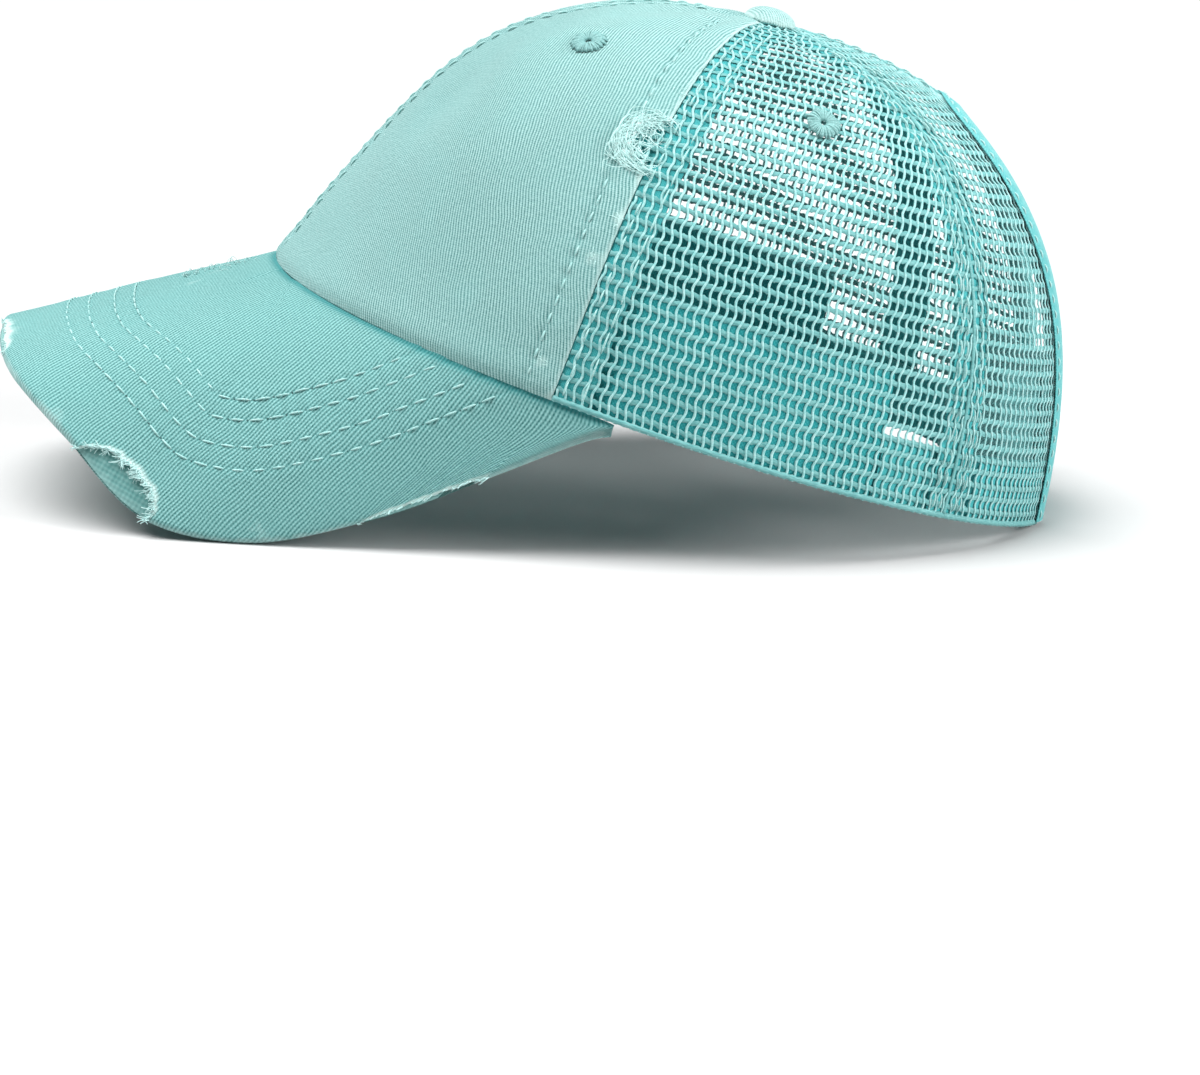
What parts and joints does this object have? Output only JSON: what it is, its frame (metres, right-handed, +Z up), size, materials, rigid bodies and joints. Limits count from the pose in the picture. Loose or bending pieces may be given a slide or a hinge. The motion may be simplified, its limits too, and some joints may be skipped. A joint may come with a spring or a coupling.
{
  "type": "ponytail baseball cap",
  "caption": "Worn baseball cap with twill front, knitted net sides and back, curved frayed peak and a tall open arch at the back for a ponytail.",
  "frame": {"origin": "under the middle of the cap's box, on the surface it rests on", "axes": "+Z up as the cap rests on its peak's side edges and the back of its hem; the peak points along -X and the wearer's left is -Y"},
  "size_m": [0.266, 0.1568, 0.1247],
  "materials": {
    "twill": "matt washed cotton twill",
    "net": "knitted polyester net, slight sheen",
    "tape": "matt woven tape",
    "sweatband": "matt cotton",
    "board": "matt cloth-faced stiffener",
    "thread": "stitched thread",
    "closure": "matt hook-and-loop tape"
  },
  "bodies": {
    "root": {"front_panel_left": "twill", "front_panel_right": "twill", "side_mesh_left": "net", "side_mesh_right": "net", "back_mesh_left": "net", "back_mesh_right": "net", "front_seam_tape_left": "tape", "front_seam_tape_right": "tape", "back_seam_tape_left": "tape", "back_seam_tape_right": "tape", "hem_tape_left": "tape", "hem_tape_right": "tape", "sweatband": "sweatband", "peak_cover": "twill", "peak_board": "board", "peak_underside": "twill", "button": "twill", "front_eyelet_left": "thread", "front_eyelet_right": "thread", "side_eyelet_left": "thread", "side_eyelet_right": "thread", "opening_binding": "tape", "closure_tab_left": "closure", "closure_tab_right": "closure"}
  },
  "joints": []
}
